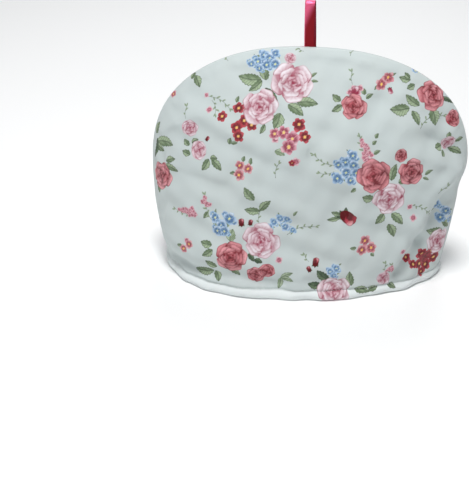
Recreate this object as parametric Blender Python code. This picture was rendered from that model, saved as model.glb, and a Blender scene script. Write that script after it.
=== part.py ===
"""A dome-shaped tea cosy: two wadded half-moon panels sewn along the dome, and a ribbon loop at the top.

Metres, +Z up. The cosy stands on its hem at z = 0, the front faces -Y, and X runs along its width.
"""

import math
from collections import namedtuple

import bmesh
import bpy

# The dome: its top, the height where it is widest, and how square its two shoulders are
HEIGHT = 0.2440
SHOULDER_HEIGHT = 0.1185
LEFT_SHOULDER_POWER = 2.24
RIGHT_SHOULDER_POWER = 2.35

# Where the cover's middle line lies, so that the origin is under the middle of the whole thing
MIDDLE_X = -0.0010
MIDDLE_Y = 0.0045

# A panel's wadded wall, and half the seam between the two panels
WALL = 0.0060
SEAM_HALF_GAP = 0.00015

# The cover's sections, from the hem up. left and right are half widths, front and back are depths.
# l_plan and r_plan say how square the section is on each side, l_seam and r_seam how round it is where
# the panels meet (1 is a sharp edge), and turn is the share by which the front swells to the left.
Section = namedtuple("Section", "height left right front back l_plan r_plan l_seam r_seam turn")
SECTIONS = [
    Section(0.0000, 0.1455, 0.1500, 0.0825, 0.0750, 3.00, 2.20, 2.00, 1.50, 0.115),
    Section(0.0200, 0.1495, 0.1527, 0.0800, 0.0735, 2.95, 2.20, 1.95, 1.50, 0.110),
    Section(0.0370, 0.1545, 0.1550, 0.0775, 0.0715, 2.90, 2.20, 1.90, 1.48, 0.100),
    Section(0.0670, 0.1601, 0.1580, 0.0725, 0.0675, 2.75, 2.20, 1.80, 1.45, 0.070),
    Section(0.0840, 0.1616, 0.1592, 0.0700, 0.0655, 2.65, 2.20, 1.70, 1.45, 0.055),
    Section(0.1030, 0.1627, 0.1600, 0.0680, 0.0635, 2.50, 2.20, 1.60, 1.45, 0.035),
    Section(0.1250, 0.1626, 0.1647, 0.0655, 0.0615, 2.40, 2.20, 1.50, 1.42, 0.020),
    Section(0.1600, 0.1626, 0.1647, 0.0620, 0.0585, 2.20, 2.10, 1.32, 1.30, 0.000),
    Section(0.2000, 0.1626, 0.1647, 0.0580, 0.0555, 2.00, 2.00, 1.15, 1.15, 0.000),
    Section(0.2450, 0.1626, 0.1647, 0.0540, 0.0520, 1.95, 1.95, 1.10, 1.10, 0.000),
]

# The hem's roll, from the floor up: how far each row stands out from the panel
HemRow = namedtuple("HemRow", "height proud")
HEM_ROWS = [
    HemRow(0.0000, -0.0004),
    HemRow(0.0012, 0.0014),
    HemRow(0.0042, 0.0026),
    HemRow(0.0072, 0.0018),
    HemRow(0.0092, -0.0014),
    HemRow(0.0118, 0.0002),
    HemRow(0.0165, 0.0000),
]
INNER_ROLL_SHARE = 0.5

# Folds of each panel: from where to where each runs, its half width, and its depth (a ridge has a minus)
Fold = namedtuple("Fold", "start_x start_z end_x end_z half_width depth")
FRONT_FOLDS = [
    Fold(0.118, 0.168, 0.156, 0.142, 0.011, 0.0050),
    Fold(0.152, 0.125, 0.130, 0.104, 0.011, -0.0040),
    Fold(0.120, 0.086, 0.098, 0.036, 0.012, -0.0045),
    Fold(0.148, 0.096, 0.135, 0.072, 0.011, 0.0055),
    Fold(0.124, 0.052, 0.106, 0.024, 0.011, 0.0060),
    Fold(-0.140, 0.018, -0.086, 0.022, 0.009, 0.0040),
    Fold(-0.066, 0.020, -0.020, 0.018, 0.008, 0.0028),
    Fold(0.010, 0.020, 0.084, 0.019, 0.008, 0.0020),
    Fold(-0.122, 0.152, -0.078, 0.149, 0.012, 0.0024),
    Fold(-0.056, 0.143, -0.024, 0.132, 0.012, 0.0024),
    Fold(-0.104, 0.181, -0.045, 0.156, 0.012, -0.0022),
    Fold(-0.145, 0.114, -0.070, 0.112, 0.008, 0.0016),
    Fold(-0.140, 0.100, -0.085, 0.099, 0.010, -0.0014),
    Fold(-0.151, 0.155, -0.122, 0.174, 0.007, -0.0022),
    Fold(0.060, 0.185, 0.088, 0.222, 0.012, 0.0020),
    Fold(0.020, 0.226, 0.045, 0.190, 0.012, 0.0014),
]
BACK_FOLDS = [
    Fold(-0.118, -0.010, -0.128, 0.060, 0.018, 0.0055),
    Fold(0.118, -0.010, 0.130, 0.046, 0.016, 0.0050),
    Fold(-0.152, 0.112, -0.095, 0.126, 0.012, 0.0035),
    Fold(0.148, 0.120, 0.090, 0.150, 0.013, 0.0030),
    Fold(-0.040, 0.205, -0.020, 0.150, 0.016, 0.0020),
    Fold(0.020, 0.030, 0.070, 0.060, 0.020, 0.0022),
]
FOLD_FADE = 0.10

# How finely each skin of a panel is divided
COLUMNS = 40
ROWS = 31
ROW_CROWDING = 1.05

# The ribbon loop: its cut, how far it rises above the ridge, and how its two legs part
RIBBON_WIDTH = 0.0100
RIBBON_THICKNESS = 0.0010
LOOP_RISE = 0.0460
LOOP_X = -0.0042
LOOP_LEAN = -0.0022
BACK_LEG_SHIFT = 0.0018
LEG_GAP = 0.0003
LOOP_TOP_RADIUS = 0.0046
SEWN_DEPTH = 0.0055
RIBBON_CLEARANCE = 0.0003
LEG_STEPS = 8
TOP_STEPS = 8
CUTTER_REACH = 0.0100

COTTON_COLOUR = (0.62, 0.66, 0.66, 1.0)
SATIN_COLOUR = (0.42, 0.015, 0.055, 1.0)


def make_material(name, colour, roughness):
    material = bpy.data.materials.new(name)
    material.use_nodes = True
    shader = material.node_tree.nodes["Principled BSDF"]
    shader.inputs["Base Color"].default_value = colour
    shader.inputs["Roughness"].default_value = roughness
    shader.inputs["Metallic"].default_value = 0.0
    return material


def add_object(name, mesh, material):
    """Makes a smooth object of a bmesh."""
    data = bpy.data.meshes.new(name)
    mesh.to_mesh(data)
    mesh.free()
    data.shade_smooth()
    if material is not None:
        data.materials.append(material)
    made = bpy.data.objects.new(name, data)
    made.parent = cosy
    bpy.context.collection.objects.link(made)
    return made


def ease(share):
    """Goes from 0 to 1, flat at both ends."""
    share = max(0.0, min(1.0, share))
    return share * share * (3.0 - 2.0 * share)


def section_value(height, column):
    """Reads one column of the sections at a height, along a smooth curve through its rows."""
    heights = [row.height for row in SECTIONS]
    values = [getattr(row, column) for row in SECTIONS]
    i = max(k for k in range(len(heights) - 1) if heights[k] <= height)

    def slope(k):
        below = max(k - 1, 0)
        above = min(k + 1, len(heights) - 1)
        return (values[above] - values[below]) / (heights[above] - heights[below])

    step = heights[i + 1] - heights[i]
    t = (height - heights[i]) / step
    return (
        (2 * t**3 - 3 * t**2 + 1) * values[i]
        + (t**3 - 2 * t**2 + t) * step * slope(i)
        + (3 * t**2 - 2 * t**3) * values[i + 1]
        + (t**3 - t**2) * step * slope(i + 1)
    )


def hem_proud(height):
    """How far the hem's roll stands out at a height."""
    for low, high in zip(HEM_ROWS, HEM_ROWS[1:]):
        if height <= high.height:
            share = (height - low.height) / (high.height - low.height)
            return low.proud + (high.proud - low.proud) * share
    return 0.0


def fold_depth(folds, x, z):
    """The sum of the folds' depths at a place on a panel."""
    total = 0.0
    for fold in folds:
        run_x = fold.end_x - fold.start_x
        run_z = fold.end_z - fold.start_z
        share = ((x - fold.start_x) * run_x + (z - fold.start_z) * run_z) / (run_x**2 + run_z**2)
        share = max(0.0, min(1.0, share))
        away = math.hypot(x - fold.start_x - share * run_x, z - fold.start_z - share * run_z)
        total += fold.depth * math.exp(-((away / fold.half_width) ** 2))
    return total


def panel_point(across, up, side, inset, folds):
    """Bends a point of the half disc, across from -1 to 1 and up from 0 to 1, to its place on a panel.

    side is -1 for the front and 1 for the back. inset moves the whole skin inwards by the wall.
    """
    top = HEIGHT - inset
    z = up * top
    reach = section_value(z, "right" if across > 0 else "left") - inset
    depth = section_value(z, "front" if side < 0 else "back") - inset
    plan = section_value(z, "r_plan" if across > 0 else "l_plan")
    seam = section_value(z, "r_seam" if across > 0 else "l_seam")
    power = RIGHT_SHOULDER_POWER if across > 0 else LEFT_SHOULDER_POWER
    above = max(0.0, z - SHOULDER_HEIGHT) / (top - SHOULDER_HEIGHT)
    edge = reach * max(0.0, 1.0 - above**power) ** (1.0 / power)
    x = across / math.sqrt(max(1e-12, 1.0 - up * up)) * edge
    outward = min(1.0, (abs(x / reach) ** power + above**power) ** (1.0 / power))
    y = depth * (1.0 - outward**plan) ** (1.0 / seam)
    if side < 0:
        y *= 1.0 - section_value(z, "turn") * x / reach

    normal_x = x / reach**2
    normal_y = y / depth**2
    length = max(1e-9, math.hypot(normal_x, normal_y))
    out = hem_proud(z) if inset == 0 else -INNER_ROLL_SHARE * hem_proud(z)
    out -= ease((1.0 - outward) / FOLD_FADE) * fold_depth(folds, x, z)
    x += out * normal_x / length
    y = max(0.0, y + out * normal_y / length)
    return x, side * (SEAM_HALF_GAP + y), z


def add_skin(mesh, side, inset, folds):
    """Adds one skin of a panel, a grid bent to the panel's shape, and returns its rim's edges."""
    made = bmesh.ops.create_grid(mesh, x_segments=COLUMNS, y_segments=ROWS, size=1.0)
    hem_levels = [row.height / (HEIGHT - inset) for row in HEM_ROWS]
    last = len(hem_levels) - 1
    for vertex in made["verts"]:
        row = round((vertex.co.y + 1.0) / 2.0 * ROWS)
        if row <= last:
            level = hem_levels[row]
        else:
            share = math.sin(0.5 * math.pi * (row - last) / (ROWS - last)) ** ROW_CROWDING
            level = hem_levels[last] + (1.0 - hem_levels[last]) * share
        u = math.sin(0.5 * math.pi * vertex.co.x)
        across = u * math.sqrt(1.0 - level**2 + 0.5 * level**4)
        up = level * math.sqrt(1.0 - 0.5 * (u * level) ** 2)
        vertex.co = panel_point(across, up, side, inset, folds)
    edges = {edge for vertex in made["verts"] for edge in vertex.link_edges}
    return [edge for edge in edges if edge.is_boundary]


def make_panel(name, side, folds, material):
    """A wadded half-moon panel: an outer and an inner skin, closed along the seam and under the hem."""
    mesh = bmesh.new()
    outer_rim = add_skin(mesh, side, 0.0, folds)
    inner_rim = add_skin(mesh, side, WALL, folds)
    bmesh.ops.bridge_loops(mesh, edges=outer_rim + inner_rim)
    bmesh.ops.triangulate(mesh, faces=mesh.faces[:])
    bmesh.ops.recalc_face_normals(mesh, faces=mesh.faces[:])
    return add_object(name, mesh, material)


def loop_line():
    """The ribbon's middle line, as (y, z, share of the way round): up the front leg, over and down the back."""
    foot = HEIGHT - SEWN_DEPTH
    foot_y = 0.5 * (LEG_GAP + RIBBON_THICKNESS)
    arc_z = HEIGHT + LOOP_RISE - LOOP_TOP_RADIUS
    leg = [(foot_y, foot)]
    for i in range(LEG_STEPS):
        share = i / LEG_STEPS
        y = foot_y + (LOOP_TOP_RADIUS - foot_y) * ease(share)
        leg.append((y, HEIGHT + (arc_z - HEIGHT) * share))
    points = [(-y, z) for y, z in leg]
    for i in range(TOP_STEPS + 1):
        angle = math.pi * i / TOP_STEPS
        points.append((-LOOP_TOP_RADIUS * math.cos(angle), arc_z + LOOP_TOP_RADIUS * math.sin(angle)))
    points += reversed(leg)
    return points


def make_loop(name, material):
    """The hanging loop: the ribbon's cross-section carried along its line, with square ends."""
    points = loop_line()
    mesh = bmesh.new()
    previous = []
    for i, (y, z) in enumerate(points):
        before = points[max(i - 1, 0)]
        after = points[min(i + 1, len(points) - 1)]
        run_y, run_z = after[0] - before[0], after[1] - before[1]
        length = math.hypot(run_y, run_z)
        out_y, out_z = -run_z / length, run_y / length
        shift = LOOP_X + BACK_LEG_SHIFT * ease(i / (len(points) - 1))
        shift += LOOP_LEAN * max(0.0, z - HEIGHT) / LOOP_RISE
        ring = []
        for side_x, side_out in ((-1, -1), (1, -1), (1, 1), (-1, 1)):
            away = 0.5 * side_out * RIBBON_THICKNESS
            x = shift + 0.5 * side_x * RIBBON_WIDTH
            ring.append(mesh.verts.new((x, y + away * out_y, z + away * out_z)))
        if previous:
            for k in range(4):
                mesh.faces.new((previous[k], previous[k - 1], ring[k - 1], ring[k]))
        else:
            mesh.faces.new(ring)
        previous = ring
    mesh.faces.new(previous)
    bmesh.ops.triangulate(mesh, faces=mesh.faces[:])
    bmesh.ops.recalc_face_normals(mesh, faces=mesh.faces[:])
    return add_object(name, mesh, material)


def make_pocket():
    """The cutter for the pocket in the seam that the ribbon's two ends are sewn into."""
    low_z = HEIGHT - SEWN_DEPTH - RIBBON_CLEARANCE
    low_x = LOOP_X - 0.5 * RIBBON_WIDTH - RIBBON_CLEARANCE
    high_x = LOOP_X + BACK_LEG_SHIFT + 0.5 * RIBBON_WIDTH + RIBBON_CLEARANCE
    half_y = 0.5 * LEG_GAP + RIBBON_THICKNESS + RIBBON_CLEARANCE
    mesh = bmesh.new()
    bmesh.ops.create_cube(mesh, size=1.0)
    bmesh.ops.scale(mesh, vec=(high_x - low_x, 2.0 * half_y, CUTTER_REACH), verts=mesh.verts)
    middle = (0.5 * (low_x + high_x), 0.0, low_z + 0.5 * CUTTER_REACH)
    bmesh.ops.translate(mesh, vec=middle, verts=mesh.verts)
    pocket = add_object("ribbon_pocket", mesh, None)
    pocket.hide_render = True
    pocket.display_type = "WIRE"
    return pocket


for leftover in list(bpy.data.objects):
    bpy.data.objects.remove(leftover, do_unlink=True)

cosy = bpy.data.objects.new("cosy", None)
cosy.location = (MIDDLE_X, MIDDLE_Y, 0.0)
bpy.context.collection.objects.link(cosy)

cotton = make_material("printed_cotton", COTTON_COLOUR, 0.85)
satin = make_material("satin_ribbon", SATIN_COLOUR, 0.35)
ribbon_pocket = make_pocket()
front = make_panel("front_panel", -1, FRONT_FOLDS, cotton)
back = make_panel("back_panel", 1, BACK_FOLDS, cotton)
for panel in (front, back):
    cut = panel.modifiers.new("ribbon_pocket", "BOOLEAN")
    cut.operation = "DIFFERENCE"
    cut.solver = "EXACT"
    cut.object = ribbon_pocket
make_loop("hanging_loop", satin)
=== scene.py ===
"""A dome tea cosy of rose-sprigged cotton with a satin hanging loop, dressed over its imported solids.

Metres, +Z up. The cosy stands on its hem at z = 0, the front faces -Y, and X runs along its width.
"""

import math
from collections import namedtuple

import bmesh
import bpy
import numpy as np
from mathutils import Matrix, Vector


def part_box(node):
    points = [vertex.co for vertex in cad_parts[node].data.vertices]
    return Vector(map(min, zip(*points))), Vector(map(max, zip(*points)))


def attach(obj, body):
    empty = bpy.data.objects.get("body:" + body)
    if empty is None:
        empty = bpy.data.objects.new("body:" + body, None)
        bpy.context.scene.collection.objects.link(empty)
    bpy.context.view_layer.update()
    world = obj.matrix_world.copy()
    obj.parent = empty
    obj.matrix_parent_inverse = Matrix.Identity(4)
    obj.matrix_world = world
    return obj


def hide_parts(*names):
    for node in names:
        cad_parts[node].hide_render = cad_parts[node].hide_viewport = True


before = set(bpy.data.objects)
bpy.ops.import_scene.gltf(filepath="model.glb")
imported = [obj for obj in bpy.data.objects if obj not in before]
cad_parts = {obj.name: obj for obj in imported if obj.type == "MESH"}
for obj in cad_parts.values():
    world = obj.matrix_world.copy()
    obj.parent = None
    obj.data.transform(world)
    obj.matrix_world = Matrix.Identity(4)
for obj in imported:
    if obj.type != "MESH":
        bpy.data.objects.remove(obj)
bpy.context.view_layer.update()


# The camera stands a little above the cosy and looks down on its front, a hand's breadth off its middle.
# It leans by a degree, as the view does.
CAMERA_PLACE = (-0.0010, -0.9534, 0.5677)
CAMERA_TURN_LEFT = math.radians(4.416)
CAMERA_LOOK_DOWN = math.radians(30.281)
CAMERA_LEAN = math.radians(1.2)
CAMERA_LENS_MM = 72.16


def add_camera():
    level = math.cos(CAMERA_LOOK_DOWN)
    ahead = Vector((-math.sin(CAMERA_TURN_LEFT) * level, math.cos(CAMERA_TURN_LEFT) * level, 0.0))
    ahead.z = -math.sin(CAMERA_LOOK_DOWN)
    flat_right = Vector((math.cos(CAMERA_TURN_LEFT), math.sin(CAMERA_TURN_LEFT), 0.0))
    straight_up = flat_right.cross(ahead)
    right = flat_right * math.cos(CAMERA_LEAN) + straight_up * math.sin(CAMERA_LEAN)
    up = straight_up * math.cos(CAMERA_LEAN) - flat_right * math.sin(CAMERA_LEAN)
    data = bpy.data.cameras.new("camera")
    data.lens = CAMERA_LENS_MM
    data.sensor_width = 36.0
    camera = bpy.data.objects.new("camera", data)
    turned = Matrix((right, up, -ahead)).transposed().to_4x4()
    camera.matrix_world = Matrix.Translation(CAMERA_PLACE) @ turned
    bpy.context.collection.objects.link(camera)
    bpy.context.scene.camera = camera


add_camera()


# Plain soft studio light: a broad lamp overhead, a weaker one low in front to the left, one behind,
# and an even pale surround, over a plain pale floor.
FLOOR_COLOUR = (0.98, 0.98, 0.98, 1.0)
FLOOR_SIZE = 12.0
FLOOR_DROP = 0.0003
SURROUND_COLOUR = (0.95, 0.98, 1.0, 1.0)
SURROUND_STRENGTH = 0.20
Lamp = namedtuple("Lamp", "name place size watts colour")
LAMPS = [
    Lamp("overhead", (-0.12, -0.50, 2.0), 0.7, 31.5, (1.0, 1.0, 1.0)),
    Lamp("front_left", (-0.6, -2.0, 1.1), 0.9, 4.6, (0.97, 0.99, 1.0)),
    Lamp("behind", (0.1, 1.4, 1.6), 1.2, 12.0, (0.98, 0.99, 1.0)),
]
LAMP_AIM = Vector((0.0, 0.0, 0.12))


def add_lights_and_floor():
    for lamp in LAMPS:
        data = bpy.data.lights.new(lamp.name, "AREA")
        data.shape = "DISK"
        data.size = lamp.size
        data.energy = lamp.watts
        data.color = lamp.colour
        light = bpy.data.objects.new(lamp.name, data)
        light.location = lamp.place
        light.rotation_euler = (LAMP_AIM - light.location).to_track_quat("-Z", "Y").to_euler()
        bpy.context.collection.objects.link(light)
    world = bpy.data.worlds.new("surround")
    world.use_nodes = True
    sky = world.node_tree.nodes["Background"]
    sky.inputs["Color"].default_value = SURROUND_COLOUR
    sky.inputs["Strength"].default_value = SURROUND_STRENGTH
    bpy.context.scene.world = world

    mesh = bmesh.new()
    bmesh.ops.create_grid(mesh, x_segments=1, y_segments=1, size=0.5 * FLOOR_SIZE)
    bmesh.ops.translate(mesh, vec=(0.0, 0.0, -FLOOR_DROP), verts=mesh.verts)
    data = bpy.data.meshes.new("floor")
    mesh.to_mesh(data)
    mesh.free()
    paper = bpy.data.materials.new("pale_floor")
    paper.use_nodes = True
    shader = paper.node_tree.nodes["Principled BSDF"]
    shader.inputs["Base Color"].default_value = FLOOR_COLOUR
    shader.inputs["Roughness"].default_value = 0.9
    data.materials.append(paper)
    floor = bpy.data.objects.new("floor", data)
    bpy.context.collection.objects.link(floor)


add_lights_and_floor()
bpy.context.scene.view_settings.view_transform = "Standard"


# The two panels' form: half-moons of cotton over wadding, sewn together along the dome and turned up
# at the foot into a plump hem. The cloth follows the panel's solid, with its creases laid one by one.
HEIGHT = 0.2440
SHOULDER_HEIGHT = 0.1185
SHOULDER_POWER = {"left": 2.24, "right": 2.35}
WALL = 0.0060
SEAM_HALF_GAP = 0.00015
MIDDLE_X = -0.0010

# From the hem up: half widths left and right, depths front and back, how square each side is in plan,
# how round it is at the seam, and the share by which the front swells to the left
SECTION_NAMES = "height left right front back l_plan r_plan l_seam r_seam turn".split()
SECTIONS = np.array(
    [
        (0.0000, 0.1455, 0.1500, 0.0825, 0.0750, 3.00, 2.20, 2.00, 1.50, 0.115),
        (0.0200, 0.1495, 0.1527, 0.0800, 0.0735, 2.95, 2.20, 1.95, 1.50, 0.110),
        (0.0370, 0.1545, 0.1550, 0.0775, 0.0715, 2.90, 2.20, 1.90, 1.48, 0.100),
        (0.0670, 0.1601, 0.1580, 0.0725, 0.0675, 2.75, 2.20, 1.80, 1.45, 0.070),
        (0.0840, 0.1616, 0.1592, 0.0700, 0.0655, 2.65, 2.20, 1.70, 1.45, 0.055),
        (0.1030, 0.1627, 0.1600, 0.0680, 0.0635, 2.50, 2.20, 1.60, 1.45, 0.035),
        (0.1250, 0.1626, 0.1647, 0.0655, 0.0615, 2.40, 2.20, 1.50, 1.42, 0.020),
        (0.1600, 0.1626, 0.1647, 0.0620, 0.0585, 2.20, 2.10, 1.32, 1.30, 0.000),
        (0.2000, 0.1626, 0.1647, 0.0580, 0.0555, 2.00, 2.00, 1.15, 1.15, 0.000),
        (0.2450, 0.1626, 0.1647, 0.0540, 0.0520, 1.95, 1.95, 1.10, 1.10, 0.000),
    ]
)

# The hem's roll: heights from the floor, and how far the cloth stands out there
HEM_HEIGHTS = np.array([0.0, 0.0006, 0.0018, 0.0042, 0.0066, 0.0082, 0.0092, 0.0104, 0.0125, 0.0165])
HEM_PROUD = np.array([-0.0006, 0.0010, 0.0021, 0.0027, 0.0020, 0.0002, -0.0015, -0.0004, 0.0003, 0.0])
INNER_ROLL_SHARE = 0.5

# Folds from where to where, with half width and depth; a ridge has a minus
Fold = namedtuple("Fold", "start_x start_z end_x end_z half_width depth")
FRONT_FOLDS = [
    Fold(0.118, 0.168, 0.156, 0.142, 0.011, 0.0050),
    Fold(0.152, 0.125, 0.130, 0.104, 0.011, -0.0040),
    Fold(0.120, 0.086, 0.098, 0.036, 0.012, -0.0045),
    Fold(0.148, 0.096, 0.135, 0.072, 0.011, 0.0055),
    Fold(0.124, 0.052, 0.106, 0.024, 0.011, 0.0060),
    Fold(-0.140, 0.018, -0.086, 0.022, 0.009, 0.0040),
    Fold(-0.066, 0.020, -0.020, 0.018, 0.008, 0.0028),
    Fold(0.010, 0.020, 0.084, 0.019, 0.008, 0.0020),
    Fold(-0.122, 0.152, -0.078, 0.149, 0.012, 0.0024),
    Fold(-0.056, 0.143, -0.024, 0.132, 0.012, 0.0024),
    Fold(-0.104, 0.181, -0.045, 0.156, 0.012, -0.0022),
    Fold(-0.145, 0.114, -0.070, 0.112, 0.008, 0.0016),
    Fold(-0.140, 0.100, -0.085, 0.099, 0.010, -0.0014),
    Fold(-0.151, 0.155, -0.122, 0.174, 0.007, -0.0022),
    Fold(0.060, 0.185, 0.088, 0.222, 0.012, 0.0020),
    Fold(0.020, 0.226, 0.045, 0.190, 0.012, 0.0014),
]
BACK_FOLDS = [
    Fold(-0.118, -0.010, -0.128, 0.060, 0.018, 0.0055),
    Fold(0.118, -0.010, 0.130, 0.046, 0.016, 0.0050),
    Fold(-0.152, 0.112, -0.095, 0.126, 0.012, 0.0035),
    Fold(0.148, 0.120, 0.090, 0.150, 0.013, 0.0030),
    Fold(-0.040, 0.205, -0.020, 0.150, 0.016, 0.0020),
    Fold(0.020, 0.030, 0.070, 0.060, 0.020, 0.0022),
]
FOLD_FADE = 0.10

# Creases and soft ridges that only the cloth shows, mostly finer than the folds under them
FRONT_CREASES = [
    Fold(0.120, 0.166, 0.144, 0.151, 0.0045, 0.0012),
    Fold(0.146, 0.149, 0.160, 0.138, 0.0050, 0.0014),
    Fold(0.124, 0.148, 0.152, 0.130, 0.0070, -0.0022),
    Fold(0.150, 0.126, 0.124, 0.106, 0.0075, -0.0014),
    Fold(0.104, 0.022, 0.121, 0.049, 0.0060, 0.0020),
    Fold(0.124, 0.053, 0.140, 0.084, 0.0065, 0.0020),
    Fold(0.088, 0.030, 0.112, 0.078, 0.0080, -0.0012),
    Fold(0.086, 0.012, 0.092, 0.030, 0.0040, 0.0010),
    Fold(-0.150, 0.152, -0.134, 0.164, 0.0030, -0.0010),
    Fold(-0.132, 0.165, -0.112, 0.178, 0.0035, -0.0006),
    Fold(-0.146, 0.118, -0.078, 0.116, 0.0040, 0.0006),
    Fold(-0.138, 0.019, -0.070, 0.019, 0.0055, 0.0020),
    Fold(-0.134, 0.042, -0.070, 0.040, 0.0120, -0.0026),
    Fold(-0.060, 0.018, 0.000, 0.017, 0.0060, 0.0012),
    Fold(-0.112, 0.158, -0.070, 0.140, 0.0090, 0.0010),
    Fold(0.012, 0.214, 0.030, 0.196, 0.0050, 0.0007),
    Fold(0.026, 0.222, 0.044, 0.203, 0.0040, 0.0006),
    Fold(0.050, 0.216, 0.060, 0.200, 0.0040, 0.0005),
    Fold(-0.020, 0.222, -0.004, 0.206, 0.0050, 0.0004),
    Fold(0.060, 0.128, 0.118, 0.121, 0.0060, -0.0006),
    Fold(-0.060, 0.060, 0.010, 0.048, 0.0070, 0.0005),
    Fold(0.014, 0.150, 0.050, 0.176, 0.0080, -0.0010),
    Fold(0.062, 0.186, 0.084, 0.214, 0.0090, 0.0010),
]
BACK_CREASES = [
    Fold(-0.150, 0.118, -0.112, 0.129, 0.0050, 0.0010),
    Fold(0.150, 0.124, 0.106, 0.147, 0.0050, 0.0009),
    Fold(-0.110, 0.012, -0.122, 0.044, 0.0050, 0.0012),
    Fold(0.108, 0.016, 0.118, 0.040, 0.0050, 0.0010),
    Fold(0.028, 0.196, 0.050, 0.180, 0.0050, 0.0005),
]


def section_value(height, name):
    """Reads one column of the sections at many heights, along a smooth curve through its rows."""
    heights = SECTIONS[:, 0]
    values = SECTIONS[:, SECTION_NAMES.index(name)]
    last = len(heights) - 1
    below = np.maximum(np.arange(last + 1) - 1, 0)
    above = np.minimum(np.arange(last + 1) + 1, last)
    slopes = (values[above] - values[below]) / (heights[above] - heights[below])
    i = np.clip(np.searchsorted(heights, height, side="right") - 1, 0, last - 1)
    step = heights[i + 1] - heights[i]
    t = (height - heights[i]) / step
    return (
        (2 * t**3 - 3 * t**2 + 1) * values[i]
        + (t**3 - 2 * t**2 + t) * step * slopes[i]
        + (3 * t**2 - 2 * t**3) * values[i + 1]
        + (t**3 - t**2) * step * slopes[i + 1]
    )


def ease(share):
    """Goes from 0 to 1, flat at both ends."""
    share = np.clip(share, 0.0, 1.0)
    return share * share * (3.0 - 2.0 * share)


def fold_depth(folds, x, z):
    """The sum of the folds' depths at many places on a panel."""
    total = np.zeros_like(x)
    for fold in folds:
        run_x = fold.end_x - fold.start_x
        run_z = fold.end_z - fold.start_z
        share = ((x - fold.start_x) * run_x + (z - fold.start_z) * run_z) / (run_x**2 + run_z**2)
        share = np.clip(share, 0.0, 1.0)
        away = np.hypot(x - fold.start_x - share * run_x, z - fold.start_z - share * run_z)
        total += fold.depth * np.exp(-((away / fold.half_width) ** 2))
    return total


def side_values(share, height, left_name, right_name):
    """A section value for each point, from its own side of the middle."""
    return np.where(share > 0, section_value(height, right_name), section_value(height, left_name))


def bare_form(share, up, side, inset):
    """A panel with no folds: share runs from -1 to 1 between the seams, and up from 0 to 1."""
    top = HEIGHT - inset
    z = up * top
    reach = side_values(share, z, "left", "right") - inset
    depth = section_value(z, "front" if side < 0 else "back") - inset
    plan = side_values(share, z, "l_plan", "r_plan")
    seam = side_values(share, z, "l_seam", "r_seam")
    power = np.where(share > 0, SHOULDER_POWER["right"], SHOULDER_POWER["left"])
    above = np.maximum(0.0, z - SHOULDER_HEIGHT) / (top - SHOULDER_HEIGHT)
    edge = reach * np.maximum(0.0, 1.0 - above**power) ** (1.0 / power)
    x = share * edge
    outward = np.minimum(1.0, (np.abs(x / reach) ** power + above**power) ** (1.0 / power))
    y = depth * np.maximum(0.0, 1.0 - outward**plan) ** (1.0 / seam)
    if side < 0:
        y = y * (1.0 - section_value(z, "turn") * x / reach)
    return x, y, z, reach, depth, outward


# Where the cloth lies flat: how far each place is from the panel's middle line, and up from the hem
ACROSS_STEPS = 320
UP_STEPS = 200
WIDEST = 0.168


def between(table, i, j):
    """Reads a table between its rows and columns."""
    i = np.clip(i, 0.0, table.shape[0] - 1.000001)
    j = np.clip(j, 0.0, table.shape[1] - 1.000001)
    i0 = i.astype(int)
    j0 = j.astype(int)
    i -= i0
    j -= j0
    low = (1 - i) * table[i0, j0] + i * table[i0 + 1, j0]
    high = (1 - i) * table[i0, j0 + 1] + i * table[i0 + 1, j0 + 1]
    return (1 - j) * low + j * high


def cloth_lengths(side):
    """Tables of the cloth's length across from the middle line, and of its length up from the floor."""
    levels = np.linspace(0.0, 1.0, UP_STEPS + 1)
    shares = np.sin(0.5 * np.pi * np.linspace(-1.0, 1.0, ACROSS_STEPS + 1))
    share, level = np.meshgrid(shares, levels, indexing="ij")
    x, y = bare_form(share, level, side, 0.0)[:2]
    steps = np.hypot(np.diff(x, axis=0), np.diff(y, axis=0))
    across = np.vstack([np.zeros((1, UP_STEPS + 1)), np.cumsum(steps, axis=0)])
    across -= across[ACROSS_STEPS // 2]

    places = np.linspace(-WIDEST, WIDEST, ACROSS_STEPS + 1)
    place, level = np.meshgrid(places, levels, indexing="ij")
    edge = np.where(place > 0, x[-1], -x[0])
    share = np.clip(place / np.maximum(edge, 1e-6), -1.0, 1.0)
    y, z = bare_form(share, level, side, 0.0)[1:3]
    steps = np.hypot(np.diff(z, axis=1), np.diff(y, axis=1))
    climb = np.hstack([np.zeros((ACROSS_STEPS + 1, 1)), np.cumsum(steps, axis=1)])
    return across, climb


def lay_flat(lengths, share, up, x):
    """Where points of a panel lie on its flat cloth, in metres."""
    across, climb = lengths
    turn = 2.0 * np.arcsin(np.clip(share, -1.0, 1.0)) / np.pi
    s = between(across, 0.5 * (turn + 1.0) * ACROSS_STEPS, up * UP_STEPS)
    t = between(climb, 0.5 * (x / WIDEST + 1.0) * ACROSS_STEPS, up * UP_STEPS)
    return s, t


# The cloth over the wadding: where it is sewn it dips and puckers, and between it lies a little uneven
HEM_LINE = 0.0092
HEM_PUCKER = 0.00035
HEM_PUCKER_PITCH = 0.0085
HEM_PUCKER_WIDTH = 0.0040
SEAM_ROLL = 0.0009
SEAM_ROLL_AT = 0.0070
SEAM_ROLL_WIDTH = 0.0045
SEAM_PUCKER_PITCH = 0.0135
SEAM_PUCKER_SHARE = 0.35
SEAM_ROLL_STARTS = 0.02
UNEVEN = 0.00050
# Each wave: how many radians a metre across and up, and where it starts
UNEVEN_WAVES = [
    (62, 95, 0.3), (-110, 70, 1.9), (150, -40, 4.1), (35, 190, 2.6), (-205, 120, 0.8), (90, 245, 5.2),
]
RIBBON_X = -0.0042
RIBBON_OPENING = 0.0010
RIBBON_OPENING_WIDTH = 0.0075
RIBBON_OPENING_DEPTH = 0.006


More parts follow.
